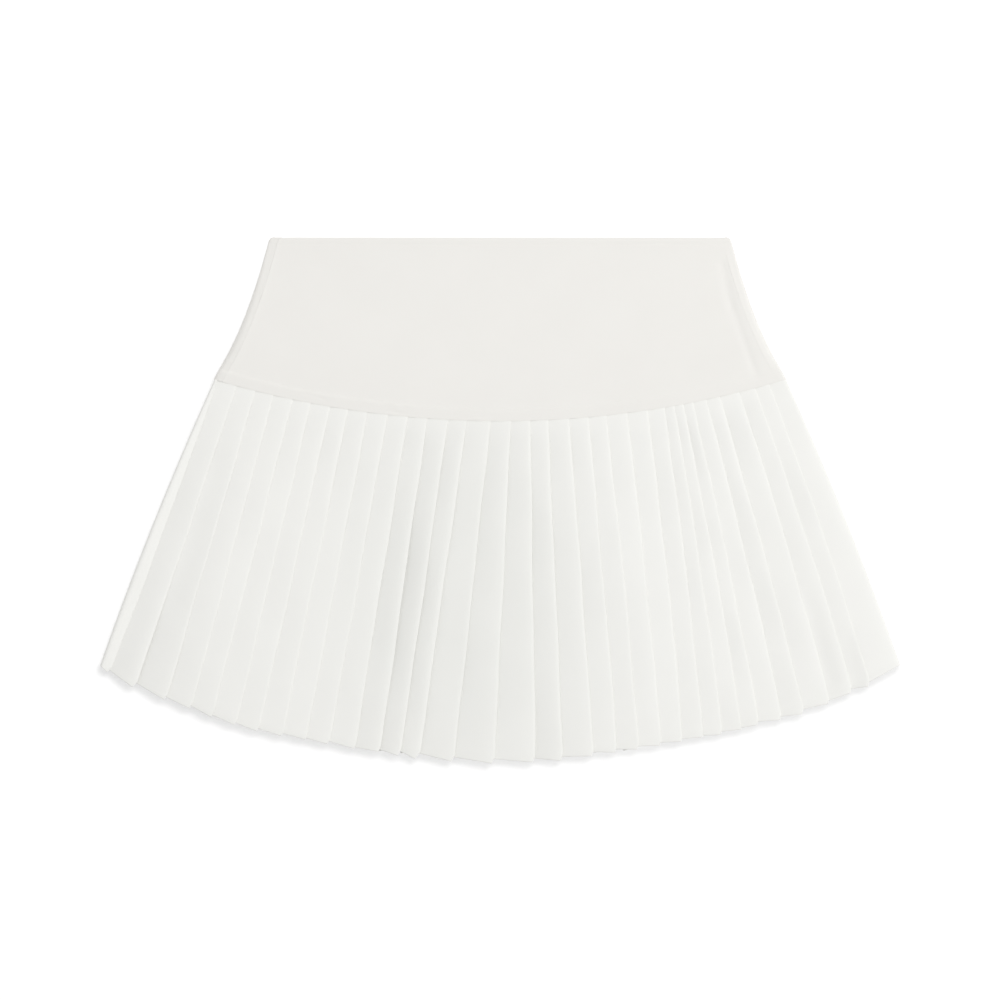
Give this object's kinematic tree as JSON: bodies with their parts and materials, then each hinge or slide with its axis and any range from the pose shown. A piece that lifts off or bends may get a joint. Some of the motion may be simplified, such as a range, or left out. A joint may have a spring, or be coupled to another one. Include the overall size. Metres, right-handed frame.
{
  "type": "pleated skort",
  "caption": "Pleated skort laid flat, front up: a smooth knit yoke, a flared skirt of one-way knife pleats with a gently curved hem, and plain inner shorts.",
  "frame": {"origin": "the point of the surface that the garment lies on, under the middle of its outline", "axes": "+X across the garment towards the wearer's left side, +Y up towards the waist edge, +Z away from the surface, out of the garment's front"},
  "size_m": [0.536, 0.3534, 0.0142],
  "materials": {
    "yoke_knit": "matte, smooth double knit in warm white",
    "pleat_cloth": "matte with a faint sheen along the pressed folds, fine plain cloth in white",
    "shorts_knit": "matte, plain white knit"
  },
  "bodies": {
    "root": {"yoke_front": "yoke_knit", "yoke_back": "yoke_knit", "skirt_front": "pleat_cloth", "skirt_back": "pleat_cloth", "shorts_front_right": "shorts_knit", "shorts_front_left": "shorts_knit", "shorts_back_right": "shorts_knit", "shorts_back_left": "shorts_knit"}
  },
  "joints": []
}
